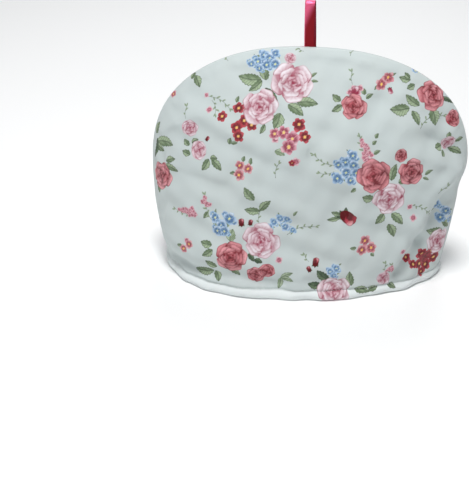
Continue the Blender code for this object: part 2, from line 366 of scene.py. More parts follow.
def wave(s, pitch, start=0.0):
    """An uneven ripple along a line of stitches, from -1 to 1."""
    turn = 2.0 * np.pi * s / pitch + start
    return np.sin(turn + 1.3 * np.sin(0.37 * turn + start) + 0.6 * np.sin(0.11 * turn))


def dressed_form(share, up, side, folds, creases, lengths):
    """The outer cloth of a panel: its points in the frame, and where they lie on the flat cloth."""
    x, y, z, reach, depth, outward = bare_form(share, up, side, 0.0)
    s, t = lay_flat(lengths, share, up, x)
    inside_seam = ease((1.0 - outward) / FOLD_FADE)
    out = np.interp(z, HEM_HEIGHTS, HEM_PROUD)
    out -= inside_seam * (fold_depth(folds, x, z) + fold_depth(creases, x, z))
    for along_s, along_t, start in UNEVEN_WAVES:
        out += inside_seam * UNEVEN * np.sin(along_s * s + along_t * t + start + side)

    from_hem_line = (z - HEM_LINE) / HEM_PUCKER_WIDTH
    out += HEM_PUCKER * wave(s, HEM_PUCKER_PITCH, side) * np.exp(-(from_hem_line**2))
    from_seam = (1.0 - outward) * 0.5 * (reach + HEIGHT - SHOULDER_HEIGHT)
    roll = np.exp(-(((from_seam - SEAM_ROLL_AT) / SEAM_ROLL_WIDTH) ** 2))
    along_seam = np.arctan2(z - 0.5 * SHOULDER_HEIGHT, x) * reach
    puckers = 1.0 + SEAM_PUCKER_SHARE * wave(along_seam, SEAM_PUCKER_PITCH, 2.0 + side)
    out += SEAM_ROLL * roll * puckers * ease(z / SEAM_ROLL_STARTS)

    normal_x = x / reach**2
    normal_y = y / depth**2
    length = np.maximum(1e-9, np.hypot(normal_x, normal_y))
    x = x + out * normal_x / length
    y = np.maximum(0.0, y + out * normal_y / length)
    at_ribbon = np.exp(-(((x - RIBBON_X) / RIBBON_OPENING_WIDTH) ** 4))
    at_ribbon = at_ribbon * np.exp(-from_seam / RIBBON_OPENING_DEPTH)
    y = y + RIBBON_OPENING * at_ribbon * (z > SHOULDER_HEIGHT)
    seam_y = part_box("front_panel")[1][1] + SEAM_HALF_GAP
    return x + MIDDLE_X, seam_y + side * (SEAM_HALF_GAP + y), z, s, t


# The print: bouquets of pink and red roses, blue and red five-petalled flowers, grey-green leaves and
# twigs on cool white cotton. Each kind of flower is drawn here in the cloth's own millimetres.
def ink(red, green, blue):
    """A printed colour, from 0 to 255 as it is seen, as the shader wants it."""
    seen = np.array([red, green, blue]) / 255.0
    return np.where(seen <= 0.04045, seen / 12.92, ((seen + 0.055) / 1.055) ** 2.4)


Inks = namedtuple("Inks", "pale middle deep heart")
PINK = Inks(ink(238, 230, 236), ink(222, 172, 186), ink(150, 48, 74), ink(176, 44, 74))
RED = Inks(ink(240, 176, 182), ink(182, 48, 66), ink(96, 0, 16), ink(112, 4, 22))
DARK_RED = Inks(ink(198, 78, 90), ink(152, 26, 42), ink(82, 4, 18), ink(92, 6, 22))
LEAF = Inks(ink(164, 182, 148), ink(104, 124, 90), ink(34, 54, 30), ink(66, 88, 58))
PALE_LEAF = Inks(ink(182, 198, 170), ink(140, 158, 126), ink(72, 92, 64), ink(120, 140, 110))
DARK_LEAF = Inks(ink(104, 126, 92), ink(60, 82, 56), ink(20, 34, 22), ink(40, 58, 40))
BLUE = Inks(ink(234, 243, 250), ink(160, 192, 222), ink(76, 114, 158), ink(232, 232, 150))
RED_FLOWER = Inks(ink(214, 92, 104), ink(178, 38, 54), ink(102, 4, 22), ink(240, 196, 112))
PINK_FLOWER = Inks(ink(248, 222, 228), ink(216, 146, 162), ink(150, 58, 82), ink(240, 208, 128))
YELLOW_HEART = Inks(ink(242, 202, 204), ink(212, 132, 144), ink(150, 62, 76), ink(246, 202, 98))
SPREAD = 3.0
SPOT_REACH = 3.0
SPOT_FLAT = 9.0
TWIG_REACH = 8.0


def blank_cloth(flat_s, flat_t, places, facing):
    """Unprinted cloth at places in millimetres: each layer holds its edge's distance and its ink."""
    cloth = {"s": flat_s, "t": flat_t, "places": places, "facing": facing}
    for layer in ("leaf", "flower"):
        cloth[layer + "_edge"] = np.full(len(flat_s), -SPREAD)
        cloth[layer + "_ink"] = np.ones((len(flat_s), 3)) * LEAF.middle
    return cloth


def find_spot(cloth, s, t, radius):
    """The cloth within a radius of one place, as if smoothed flat there, or None past the cut's edge."""
    from_place = (cloth["s"] - s) ** 2 + (cloth["t"] - t) ** 2
    centre = int(np.argmin(from_place))
    if from_place[centre] > SPOT_REACH**2:
        return None
    away = cloth["places"] - cloth["places"][centre]
    span = np.linalg.norm(away, axis=1)
    facing = cloth["facing"][centre]
    around = (span < SPOT_FLAT) & (cloth["facing"] @ facing > 0.2)
    facing = cloth["facing"][around].mean(axis=0)
    facing /= np.linalg.norm(facing)
    near = (span < radius) & (cloth["facing"] @ facing > -0.2)
    found = np.nonzero(near)[0]
    level = np.cross((0.0, 0.0, 1.0), facing)
    level /= np.linalg.norm(level)
    upward = np.cross(facing, level)
    a = away[found] @ level
    b = away[found] @ upward
    stretch = span[found] / np.maximum(1e-6, np.hypot(a, b))
    return found, a * stretch, b * stretch


def turned(spot, place_a, place_b, degrees):
    """A spot's points as seen from one place in it, turned so that the first axis points ahead."""
    found, a, b = spot
    turn = math.radians(degrees)
    a = a - place_a
    b = b - place_b
    return found, a * math.cos(turn) + b * math.sin(turn), b * math.cos(turn) - a * math.sin(turn)


def lay_ink(cloth, layer, found, edge, colour):
    """Prints a shape over what is there. edge is the distance inside its outline."""
    there = cloth[layer + "_edge"][found]
    covers = (edge > 0.0) | (edge > there)
    cloth[layer + "_ink"][found[covers]] = colour[covers]
    cloth[layer + "_edge"][found] = np.maximum(there, edge)


def blend_inks(first, second, share):
    share = np.clip(share, 0.0, 1.0)[:, None]
    return first * (1.0 - share) + second * share


def print_leaf(cloth, spot, place_a, place_b, length, degrees, width, inks):
    """A pointed leaf from its stalk: dark midrib and rim, one half paler than the other."""
    found, a, b = turned(spot, place_a, place_b, degrees)
    share = np.clip(a / length, 0.0, 1.0)
    b = b - 0.07 * length * np.sin(np.pi * share)
    half = 0.5 * width * np.sin(np.pi * share**0.8) ** 0.85 * (1.0 + 0.09 * np.sin(1.9 * a + width))
    edge = half - np.abs(b) - np.maximum(0.0, np.maximum(-a, a - length))
    side_shade = 0.40 - 2.1 * b / max(width, 1.0) + 0.25 * np.sin(0.7 * a + b)
    colour = blend_inks(inks.pale, inks.middle, side_shade)
    vein = np.exp(-((np.sin(1.05 * (a - 1.1 * np.abs(b)) + 0.4 * b) / 0.38) ** 2))
    colour = blend_inks(colour, inks.deep, 0.50 * vein * (width > 5.5) * np.clip(np.abs(b) / 1.2, 0.0, 1.0))
    drawn = min(1.0, width / 5.0)
    colour = blend_inks(colour, inks.deep, 0.90 * drawn * np.exp(-((b / 0.50) ** 2)))
    rim = drawn * np.exp(-((np.maximum(edge, 0.0) / 0.55) ** 2)) * (0.55 + 0.35 * np.sign(b))
    colour = blend_inks(colour, inks.deep, rim)
    lay_ink(cloth, "leaf", found, edge, colour)


def print_petal(cloth, spot, place_a, place_b, degrees, out, long, wide, inner, outer, rim, frill=0.0):
    """One round petal, set out from the flower's middle: dark at its root, with a drawn, frilled rim."""
    found, a, b = turned(spot, place_a, place_b, degrees)
    a = a - out
    round_it = np.arctan2(b / wide, a / long)
    edge = (1.0 - np.sqrt((a / long) ** 2 + (b / wide) ** 2)) * min(long, wide)
    edge = edge + frill * np.sin(5.0 * round_it + 2.1 * out + degrees)
    streak = 0.14 * np.sin(9.0 * round_it + degrees) * np.clip(1.0 - a / long, 0.0, 1.0)
    colour = blend_inks(inner, outer, 0.10 + 1.25 * a / long + streak)
    side_shade = 0.50 + 0.45 * math.sin(3.0 * degrees) * b / wide
    colour = blend_inks(colour, rim, side_shade * 1.5 * np.exp(-((np.maximum(edge, 0.0) / 0.60) ** 2)))
    lay_ink(cloth, "flower", found, edge, colour)


def print_rose(cloth, s, t, size, inks, degrees=0.0):
    """A full rose: rings of cupped petals that darken towards its furled heart, each a little different."""
    # Each ring: how many petals, how far out, how long and how wide (as shares of the size), how pale
    rings = [(5, 0.64, 0.38, 0.50, 1.0), (5, 0.45, 0.32, 0.42, 0.95), (4, 0.30, 0.26, 0.34, 0.85)]
    rings += [(4, 0.18, 0.18, 0.24, 0.60), (3, 0.08, 0.12, 0.16, 0.45)]
    if size < 12.0:
        rings = rings[1:]
        size *= 1.25
    spot = find_spot(cloth, s, t, 1.2 * size + SPREAD)
    if spot is None:
        return
    inks_light = 1.0 if inks is PINK else 0.78
    chance = np.random.default_rng(int(abs(s) * 31 + abs(t) * 17))
    whole = 0.72 * size
    print_petal(cloth, spot, 0.0, 0.0, 0.0, 0.0, whole, whole, inks.middle, inks.middle, inks.middle)
    heart_turn = math.radians(degrees)
    heart_a = 0.08 * size * math.cos(heart_turn)
    heart_b = 0.08 * size * math.sin(heart_turn)
    for number, out, long, wide, pale in rings:
        start = degrees + chance.uniform(0.0, 360.0 / number)
        inwards = 1.0 - out
        for k in range(number):
            turn = start + 360.0 * k / number + chance.uniform(-14.0, 14.0)
            grown = size * chance.uniform(0.88, 1.12)
            light = min(1.0, max(0.0, pale * inks_light + chance.uniform(-0.25, 0.10)))
            outer = inks.middle * (1.0 - light) + inks.pale * light
            dark = chance.uniform(0.55, 1.0)
            inner = inks.middle * (1.0 - dark) + inks.deep * dark
            rim_light = chance.uniform(0.0, 0.35)
            rim = inks.deep * (1.0 - rim_light) + inks.middle * rim_light
            print_petal(
                cloth, spot, heart_a * inwards, heart_b * inwards, turn,
                out * size * chance.uniform(0.93, 1.05), long * grown, wide * grown,
                inner, outer, rim, 0.022 * size,
            )
    print_petal(
        cloth, spot, heart_a, heart_b, degrees, 0.0, 0.09 * size, 0.06 * size,
        inks.deep, inks.heart, inks.deep,
    )


def print_flower(cloth, s, t, size, inks, degrees=90.0, heart_share=0.22):
    """A flat five-petalled flower with a yellow middle."""
    spot = find_spot(cloth, s, t, 1.2 * size + SPREAD)
    if spot is None:
        return
    chance = np.random.default_rng(int(abs(s) * 19 + abs(t) * 23))
    for k in range(5):
        turn = degrees + 72.0 * k + chance.uniform(-8.0, 8.0)
        light = chance.uniform(0.0, 1.0)
        outer = inks.middle * (1.0 - light) + inks.pale * light
        grown = size * chance.uniform(0.84, 1.18)
        print_petal(
            cloth, spot, 0.0, 0.0, turn, 0.56 * size, 0.46 * grown, 0.42 * grown,
            inks.deep, outer, inks.middle, 0.03 * size,
        )
    heart = heart_share * size
    print_petal(cloth, spot, 0.0, 0.0, 0.0, 0.0, heart, heart, inks.heart, inks.heart, inks.heart)


def print_bud(cloth, s, t, size, inks, degrees=90.0):
    """A closed bud in its calyx, with two petals folded over."""
    spot = find_spot(cloth, s, t, 2.2 * size + SPREAD)
    if spot is None:
        return
    for tilt in (180.0, 140.0, 220.0):
        print_leaf(cloth, spot, 0.0, 0.0, 1.1 * size, degrees + tilt, 0.5 * size, DARK_LEAF)
    # Each petal: its tilt, how far out, how long and wide, and whether it is a paler one
    petals = [(0, 0.10, 0.95, 0.64, 0), (-24, 0.45, 0.60, 0.42, 1), (32, 0.42, 0.55, 0.34, 0)]
    for tilt, out, long, wide, pale in petals:
        outer = inks.pale if pale else inks.middle
        inner = inks.middle if pale else inks.deep
        print_petal(
            cloth, spot, 0.0, 0.0, degrees + tilt, out * size, long * size, wide * size,
            inner, outer, inks.deep,
        )


def print_floret(cloth, spot, place_a, place_b, size, start, inks):
    """A very small blossom, four dabs of ink."""
    for k in range(4):
        print_petal(
            cloth, spot, place_a, place_b, start + 90.0 * k, 0.45 * size, 0.52 * size, 0.45 * size,
            inks.deep, inks.pale, inks.middle,
        )


def print_twig(cloth, spot, length, degrees):
    """A thin bowed twig with small leaves to each side by turns."""
    found, a, b = turned(spot, 0.0, 0.0, degrees)
    bow = 0.10 * length * np.sin(np.pi * np.clip(a / length, 0.0, 1.0))
    edge = 0.30 - np.abs(b - bow) - np.maximum(0.0, np.maximum(-a, a - length))
    lay_ink(cloth, "leaf", found, edge, np.ones((len(found), 3)) * PALE_LEAF.deep)
    turn = math.radians(degrees)
    leaves = max(3, int(length / 3.4))
    for k in range(leaves + 1):
        share = min(1.0, (k + 0.9) / leaves)
        along = share * length
        off = 0.10 * length * math.sin(math.pi * share)
        place_a = along * math.cos(turn) - off * math.sin(turn)
        place_b = along * math.sin(turn) + off * math.cos(turn)
        tilt = 0.0 if k == leaves else 48.0 - 94.0 * (k % 2)
        leaf_length = 3.4 + 1.6 * ((k * 7) % 3) / 2.0
        print_leaf(cloth, spot, place_a, place_b, leaf_length, degrees + tilt, 1.7, PALE_LEAF)


def print_spray(cloth, spot, length, degrees, chance):
    """A tapering spray of small pink blossoms on a twig."""
    print_twig(cloth, spot, length, degrees)
    turn = math.radians(degrees)
    count = max(8, int(length / 1.1))
    for k in range(count):
        share = (k + 0.5) / count
        off = chance.uniform(-5.0, 5.0) * (1.1 - share)
        along = share * length * 0.85
        place_a = along * math.cos(turn) - off * math.sin(turn)
        place_b = along * math.sin(turn) + off * math.cos(turn)
        start = chance.uniform(0.0, 90.0)
        print_floret(cloth, spot, place_a, place_b, 3.1 - 1.1 * share, start, PINK_FLOWER)


# The chart of the print, in millimetres on the flat front: across from the middle line, up from the hem.
# The bouquets past the front's dome show only on the back.
# Round motifs have a size, long ones a length and a direction in degrees, and leaves a width too.
ROSES = [
    (-22, 252, 6, PINK), (-19, 228, 20, PINK), (-48, 201, 18, PINK), (-41, 63, 19, PINK),
    (86, 109, 17, PINK), (37, 9, 17, PINK), (158, 46, 15, PINK), (143, 30, 9, DARK_RED),
    (152, 183, 9, RED), (94, 154, 7, RED), (-160, 122, 15, RED), (-71, 43, 17, RED), (43, 203, 13, RED),
    (123, 210, 15, RED), (68, 135, 17, RED), (106, 136, 14, RED), (-45, 26, 10, RED), (-34, 31, 9, RED),
    (-124, 168, 9, PINK), (-113, 147, 10, PINK), (152, 157, 8, PINK), (90, 18, 8, PINK),
    (-148, 244, 17, RED), (-127, 232, 13, PINK), (156, 250, 18, PINK), (172, 232, 13, RED),
    (98, 262, 12, RED), (-92, 270, 13, PINK),
]
# Each blue flower with its smaller neighbours: how far off, and how large, as shares of its size
BLUE_BUNCH = [(0.80, -0.55, 0.62), (-0.70, 0.65, 0.62), (0.0, 0.0, 1.12)]
BLUE_FLOWERS = [
    (-54, 246, 5), (-48, 253, 5), (-42, 250, 5), (-37, 256, 4), (-45, 243, 5), (-37, 244, 5),
    (-52, 239, 4), (-60, 243, 4), (-90, 82, 5), (-83, 76, 5), (-75, 84, 6), (-79, 70, 5), (-87, 69, 5),
    (-29, 84, 3.5), (-23, 88, 4), (-16, 88, 3.5), (-18, 80, 4), (-10, 77, 3), (-33, 79, 3),
    (104, 237, 3.5), (45, 156, 5), (38, 150, 5), (46, 146, 5), (31, 147, 4.5), (50, 138, 5), (31, 134, 5),
    (39, 139, 5), (44, 131, 4.5), (31, 32, 4), (37, 35, 4), (35, 28, 3.5), (152, 88, 5), (163, 80, 5),
    (157, 73, 5), (171, 68, 4), (-166, 238, 5), (-160, 230, 5), (-169, 228, 4), (140, 238, 5),
    (146, 231, 4), (138, 229, 4.5),
]
SMALL_FLOWERS = [
    (-71, 197, 6, RED_FLOWER), (-64, 185, 6, RED_FLOWER), (-71, 178, 6, RED_FLOWER),
    (-69, 170, 6, RED_FLOWER), (-56, 182, 6, RED_FLOWER), (-33, 175, 6, PINK_FLOWER),
    (-24, 177, 7, PINK_FLOWER), (-15, 172, 7, PINK_FLOWER), (-18, 163, 8, PINK_FLOWER),
    (-10, 185, 7, RED_FLOWER), (-3, 174, 6, RED_FLOWER), (-67, 140, 5, YELLOW_HEART),
    (-58, 138, 5, YELLOW_HEART), (-67, 130, 6, YELLOW_HEART), (-119, 47, 4.5, YELLOW_HEART),
    (-125, 40, 4.5, YELLOW_HEART), (69, 225, 6.5, YELLOW_HEART), (77, 231, 6.5, YELLOW_HEART),
    (65, 64, 6, YELLOW_HEART), (62, 54, 6, YELLOW_HEART), (72, 56, 6, YELLOW_HEART),
    (-148, 197, 4, YELLOW_HEART), (137, 36, 7, RED_FLOWER), (149, 36, 7, RED_FLOWER),
    (136, 24, 7, RED_FLOWER), (120, 33, 5, RED_FLOWER), (146, 20, 7, RED_FLOWER),
    (156, 26, 7, RED_FLOWER), (139, 14, 6, RED_FLOWER), (127, 26, 5, RED_FLOWER),
    (-87, 187, 5, RED_FLOWER), (-14, 148, 3.5, RED_FLOWER), (-41, 22, 4, RED_FLOWER),
]
BUDS = [
    (-104, 160, 3, RED, 60), (-62, 81, 4.5, RED, 95), (-53, 82, 3.5, RED, 80), (44, 92, 10, RED, -40),
    (15, 42, 5, RED, 80), (9, 35, 3.5, RED, 120), (79, 218, 3.5, PINK, -80), (44, 219, 5.5, PINK, 90),
]
FLORETS = [
    (-10, 149, 4.5), (-106, 205, 3), (-102, 191, 3.5), (-22, 44, 4), (-122, 50, 3.5), (109, 98, 3.5),
    (114, 85, 4), (107, 48, 3.5), (39, 217, 4), (42, 221, 4), (46, 218, 4), (48, 222, 4), (-32, 170, 4),
]
SPRAYS = [(-112, 83, 28, -170), (-101, 93, 12, 95), (61, 152, 25, 112), (95, 26, 9, 80)]
LEAVES = [
    (-50, 227, 24, 175, 12), (-45, 227, 17, 100, 10), (-49, 226, 16, -135, 8), (-13, 207, 21, 0, 10),
    (-22, 204, 19, -30, 10), (-29, 195, 16, -105, 12), (-43, 184, 11, -110, 5), (-1, 229, 8, 0, 3),
    (-1, 233, 8, 40, 3), (-79, 159, 8, 80, 5), (-77, 160, 8, 25, 4), (-73, 202, 7, 80, 4),
    (-125, 148, 9, 135, 6), (-122, 151, 9, 40, 6), (-123, 140, 10, 165, 7), (-100, 141, 14, -115, 8),
    (-97, 141, 15, -35, 8), (-99, 142, 8, 10, 6), (-170, 147, 26, 10, 11), (-172, 153, 14, 80, 9),
    (-172, 142, 15, -10, 9), (-154, 130, 18, -10, 8), (-152, 130, 13, 25, 7), (-166, 104, 8, -65, 6),
    (-64, 144, 6, 80, 4), (-56, 142, 7, 90, 4), (-71, 132, 6, -165, 4), (-50, 106, 17, 130, 9),
    (-44, 95, 16, 180, 8), (-44, 95, 17, 50, 8), (-92, 53, 13, 175, 8), (-91, 49, 15, -140, 8),
    (-87, 29, 14, 160, 8), (-91, 23, 25, -168, 9), (-89, 23, 12, -65, 8), (-73, 28, 12, -30, 7),
    (-10, 92, 7, 55, 3), (-99, 87, 9, -115, 5), (-127, 43, 7, -170, 4), (30, 209, 11, 140, 7),
    (31, 205, 12, -150, 7), (55, 211, 9, 35, 5), (53, 215, 7, 90, 5), (80, 232, 6, 40, 3),
    (65, 225, 6, -125, 3), (101, 199, 21, 178, 12), (110, 201, 18, 135, 9), (103, 196, 16, -70, 8),
    (124, 196, 18, -80, 12), (99, 228, 11, 160, 8), (104, 223, 10, -160, 7), (98, 230, 8, 130, 5),
    (145, 155, 10, -175, 7), (150, 163, 7, 90, 5), (156, 151, 15, -30, 7), (158, 159, 11, 10, 5),
    (147, 150, 7, -150, 5), (66, 172, 6, 55, 4), (64, 166, 6, 45, 4), (66, 156, 8, 30, 4),
    (86, 128, 18, 75, 9), (94, 125, 7, 20, 7), (69, 111, 12, 165, 10), (82, 93, 14, -125, 9),
    (90, 92, 17, -45, 9), (88, 81, 17, -65, 9), (122, 130, 10, 25, 4), (120, 128, 8, -25, 3),
    (50, 123, 7, -130, 4), (37, 94, 10, 165, 5), (37, 91, 14, -170, 5), (56, 58, 7, 180, 4),
    (72, 50, 5, -45, 4), (55, 14, 17, 100, 9), (58, 10, 17, -15, 8), (74, 7, 11, 10, 6),
    (96, 24, 6, 85, 4), (96, 10, 10, -30, 6), (160, 68, 12, -45, 8), (160, 58, 20, 170, 10),
    (-125, 217, 8, 75, 6), (-145, 256, 15, 70, 9), (-155, 256, 14, 130, 8), (-120, 222, 14, -50, 8),
    (-132, 222, 13, -120, 7), (168, 258, 15, 35, 9), (150, 264, 14, 110, 9), (180, 226, 13, -40, 8),
    (104, 270, 12, 60, 8), (90, 258, 12, -160, 7), (-84, 262, 12, -40, 8), (-100, 276, 12, 130, 8),
]
PALE_LEAVES = [
    (-32, 158, 11, -20, 7), (-73, 60, 14, 80, 11), (-20, 23, 15, 30, 6), (-20, 23, 13, -100, 6),
    (-20, 23, 14, -10, 6),
]
DARK_LEAVES = [
    (-46, 219, 20, -40, 6), (-54, 48, 10, -45, 6), (-47, 43, 9, -15, 6), (31, 21, 19, 135, 10),
    (23, 15, 15, 170, 8), (-168, 152, 22, -92, 6), (132, 206, 20, -25, 5),
]
TWIGS = [
    (-30, 131, 15, 80), (-105, 204, 28, -15), (-127, 177, 12, 105), (-44, 79, 16, 90), (-15, 72, 30, 20),
    (-94, 79, 13, 120), (40, 226, 13, 90), (114, 177, 15, 40), (126, 183, 15, 15), (28, 146, 24, 155),
    (27, 140, 14, -175), (109, 99, 28, -30), (8, 43, 8, 125), (91, 26, 12, 95), (139, 108, 12, 35),
    (-85, 243, 8, 130), (36, 256, 7, 55), (-9, 260, 6, 155), (-100, 200, 14, -60), (-122, 84, 10, -150),
]


def print_chart(cloth, shift_s=0.0, shift_t=0.0):
    """Prints the whole chart, moved by a shift: twigs first, then leaves, then flowers over them."""
    chance = np.random.default_rng(7)
    for s, t, length, degrees in TWIGS:
        spot = find_spot(cloth, s + shift_s, t + shift_t, length + TWIG_REACH)
        if spot is not None:
            print_twig(cloth, spot, length, degrees)
    for inks, leaves in ((PALE_LEAF, PALE_LEAVES), (LEAF, LEAVES), (DARK_LEAF, DARK_LEAVES)):
        for s, t, length, degrees, width in leaves:
            spot = find_spot(cloth, s + shift_s, t + shift_t, length + SPREAD)
            if spot is not None:
                print_leaf(cloth, spot, 0.0, 0.0, length, degrees, width, inks)
    for s, t, length, degrees in SPRAYS:
        spot = find_spot(cloth, s + shift_s, t + shift_t, length + TWIG_REACH)
        if spot is not None:
            print_spray(cloth, spot, length, degrees, chance)
    for s, t, size in FLORETS:
        spot = find_spot(cloth, s + shift_s, t + shift_t, 2.0 * size + SPREAD)
        if spot is not None:
            print_floret(cloth, spot, 0.0, 0.0, size, 7.0 * s, PINK_FLOWER)
    for s, t, size in BLUE_FLOWERS:
        spot = find_spot(cloth, s + shift_s, t + shift_t, 2.4 * size + SPREAD)
        if spot is not None:
            print_leaf(cloth, spot, 0.0, 0.0, 1.9 * size, 11.0 * s, 0.6 * size, LEAF)
        for off_s, off_t, share in BLUE_BUNCH:
            print_flower(
                cloth, s + shift_s + off_s * size, t + shift_t + off_t * size, share * size, BLUE,
                90.0 + 7.0 * s + 40.0 * off_s, 0.17,
            )
    for s, t, size, inks in SMALL_FLOWERS:
        print_flower(cloth, s + shift_s, t + shift_t, size, inks, 90.0 + 5.0 * s)
    for s, t, size, inks, degrees in BUDS:
        print_bud(cloth, s + shift_s, t + shift_t, size, inks, degrees)
    for s, t, size, inks in ROSES:
        print_rose(cloth, s + shift_s, t + shift_t, size, inks, 3.0 * s)


# The front panel: the cloth over its wadding as one padded wall, printed outside and plain white inside.
# It is finer where the print lies, so that each petal is drawn, and its hem is part of the same cloth.
COLUMNS = 174
HEM_ROWS = len(HEM_HEIGHTS) - 1
ROWS = 112
PRINT_CUTS = 2
PRINT_MARGIN = 0.6
INNER_SHARE = 2
TOP_CROWDING = 0.25
COTTON = (0.582, 0.653, 0.653, 1.0)
COTTON_WARM = (0.578, 0.630, 0.620, 1.0)
# A painted highlight: the paler colour given to the hem's roll, below the hem line
HEM_PAINTED_HIGHLIGHT = (0.775, 0.825, 0.825, 1.0)
HEM_BLEND = 0.0012
WEAVE_THREADS = 2600.0
CLOUD_SCALE = 22.0
SLUB_SCALE = 260.0
WRINKLE_SCALE = 34.0


def make_thread_rows():
    """A node group: the height of a row of round threads at a place along a measure in metres."""
    group = bpy.data.node_groups.new("thread_rows", "ShaderNodeTree")
    for name in ("Place", "Turns a metre"):
        group.interface.new_socket(name, in_out="INPUT", socket_type="NodeSocketFloat")
    group.interface.new_socket("Height", in_out="OUTPUT", socket_type="NodeSocketFloat")
    given = group.nodes.new("NodeGroupInput")
    turn = group.nodes.new("ShaderNodeMath")
    turn.operation = "MULTIPLY"
    ripple = group.nodes.new("ShaderNodeMath")
    ripple.operation = "SINE"
    out = group.nodes.new("NodeGroupOutput")
    group.links.new(given.outputs["Place"], turn.inputs[0])
    group.links.new(given.outputs["Turns a metre"], turn.inputs[1])
    group.links.new(turn.outputs[0], ripple.inputs[0])
    group.links.new(ripple.outputs[0], out.inputs["Height"])
    return group


def make_mottle():
    """A node group: two colours mixed in soft patches, with the patches' own value."""
    group = bpy.data.node_groups.new("mottle", "ShaderNodeTree")
    sockets = [("Vector", "Vector"), ("Scale", "Float"), ("Detail", "Float")]
    sockets += [("First", "Color"), ("Second", "Color")]
    for name, kind in sockets:
        group.interface.new_socket(name, in_out="INPUT", socket_type="NodeSocket" + kind)
    group.interface.new_socket("Colour", in_out="OUTPUT", socket_type="NodeSocketColor")
    group.interface.new_socket("Patches", in_out="OUTPUT", socket_type="NodeSocketFloat")
    given = group.nodes.new("NodeGroupInput")
    noise = group.nodes.new("ShaderNodeTexNoise")
    for name in ("Vector", "Scale", "Detail"):
        group.links.new(given.outputs[name], noise.inputs[name])
    colour = group.nodes.new("ShaderNodeMix")
    colour.data_type = "RGBA"
    out = group.nodes.new("NodeGroupOutput")
    group.links.new(noise.outputs["Fac"], colour.inputs[0])
    group.links.new(given.outputs["First"], colour.inputs[6])
    group.links.new(given.outputs["Second"], colour.inputs[7])
    group.links.new(colour.outputs[2], out.inputs["Colour"])
    group.links.new(noise.outputs["Fac"], out.inputs["Patches"])
    return group


thread_rows = make_thread_rows()
mottle = make_mottle()


def add_thread_rows(nodes, links, place, rows):
    """Adds the thread rows to a material, that many a metre along a place's socket."""
    added = nodes.new("ShaderNodeGroup")
    added.node_tree = thread_rows
    added.inputs["Turns a metre"].default_value = 2.0 * math.pi * rows
    links.new(place, added.inputs["Place"])
    return added


def add_mottle(nodes, links, place, scale, detail, first, second):
    """Adds the mottle to a material, over its object's own places."""
    added = nodes.new("ShaderNodeGroup")
    added.node_tree = mottle
    added.inputs["Scale"].default_value = scale
    added.inputs["Detail"].default_value = detail
    added.inputs["First"].default_value = first
    added.inputs["Second"].default_value = second
    links.new(place, added.inputs["Vector"])
    return added


